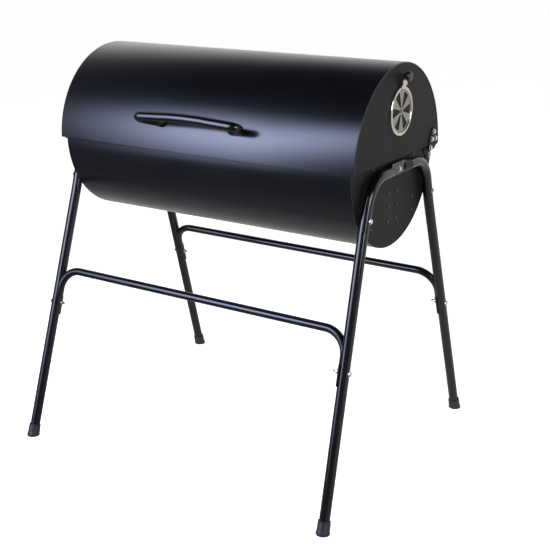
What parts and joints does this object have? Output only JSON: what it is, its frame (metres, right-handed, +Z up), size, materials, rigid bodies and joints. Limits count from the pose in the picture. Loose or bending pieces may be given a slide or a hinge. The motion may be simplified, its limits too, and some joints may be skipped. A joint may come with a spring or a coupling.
{
  "type": "barrel charcoal grill",
  "caption": "Free-standing charcoal grill: a drum split into bowl and hinged lid, end vent with turning damper, side handle, inner grids, bent tube legs with rails.",
  "frame": {"origin": "on the floor under the middle of the leg footprint", "axes": "+X along the barrel towards the vent end, +Y from the handle side to the hinge side, +Z up"},
  "size_m": [0.932, 0.796, 1.0109],
  "materials": {
    "barrel_enamel": "black high-heat enamel, semi-gloss",
    "end_paint": "black high-heat paint, matt",
    "frame_paint": "black powder coat, gloss",
    "handle_paint": "black gloss paint",
    "inner_steel": "black paint, dull",
    "painted_rivets": "black paint over steel rivets",
    "zinc": "bright zinc plate",
    "vent_nickel": "nickel plate, satin disc with a bright rim",
    "knob_plastic": "black moulded phenolic",
    "plug_plastic": "black moulded plastic",
    "foot_plastic": "black moulded plastic",
    "grid_wire": "chromed wire",
    "grate_iron": "dark bare steel rod"
  },
  "bodies": {
    "stand": {"bowl_shell": "barrel_enamel", "bowl_end_left": "end_paint", "bowl_end_right": "end_paint", "bowl_hinge_bracket_left": "end_paint", "bowl_hinge_bracket_right": "end_paint", "leg_frame_left": "frame_paint", "leg_frame_right": "frame_paint", "front_rail": "frame_paint", "rear_rail": "frame_paint", "charcoal_ledges_left": "inner_steel", "charcoal_ledges_right": "inner_steel", "grid_ledge_left": "inner_steel", "grid_ledge_right": "inner_steel", "grid_cross_bar": "inner_steel", "ledge_rivets_left": "painted_rivets", "ledge_rivets_right": "painted_rivets", "hinge_bushes": "zinc", "hinge_pins": "zinc", "hinge_pin_nuts": "zinc", "bowl_hinge_bolts": "zinc", "bowl_hinge_nuts": "zinc", "frame_bolts": "zinc", "frame_nuts": "zinc", "frame_spacers": "zinc", "rail_bolts": "zinc", "rail_nuts": "zinc", "foot_cap_front_left": "foot_plastic", "foot_cap_front_right": "foot_plastic", "foot_cap_rear_left": "foot_plastic", "foot_cap_rear_right": "foot_plastic"},
    "lid": {"lid_shell": "barrel_enamel", "lid_end_left": "end_paint", "lid_end_right": "end_paint", "lid_hinge_bracket_left": "end_paint", "lid_hinge_bracket_right": "end_paint", "lid_hinge_bolts": "zinc", "lid_hinge_nuts": "zinc", "lid_handle": "handle_paint", "handle_plugs": "plug_plastic", "handle_washers": "zinc", "handle_screws": "zinc", "vent_rivet": "vent_nickel"},
    "vent_damper": {"vent_disc": "vent_nickel", "vent_knob": "knob_plastic", "vent_knob_screw": "zinc"},
    "left_grid": {"cooking_grid_left": "grid_wire"},
    "right_grid": {"cooking_grid_right": "grid_wire"},
    "coal_tray": {"charcoal_grate": "grate_iron"}
  },
  "joints": [
    {"name": "lid_hinge", "type": "hinge", "parent": "stand", "child": "lid", "pos_m": [0, 0.174, 0.785], "axis": [-1, 0, 0], "range_deg": [0, 56]},
    {"name": "vent_turn", "type": "hinge", "parent": "lid", "child": "vent_damper", "pos_m": [0.4225, 0.002, 0.9], "axis": [1, 0, 0], "range_deg": [0, 30]},
    {"name": "left_grid_lift", "type": "slide", "parent": "stand", "child": "left_grid", "axis": [0, 0, 1], "range_m": [0, 0.08]},
    {"name": "right_grid_lift", "type": "slide", "parent": "stand", "child": "right_grid", "axis": [0, 0, 1], "range_m": [0, 0.08]},
    {"name": "coal_tray_lift", "type": "slide", "parent": "stand", "child": "coal_tray", "axis": [0, 0, 1], "range_m": [0, 0.02]}
  ]
}
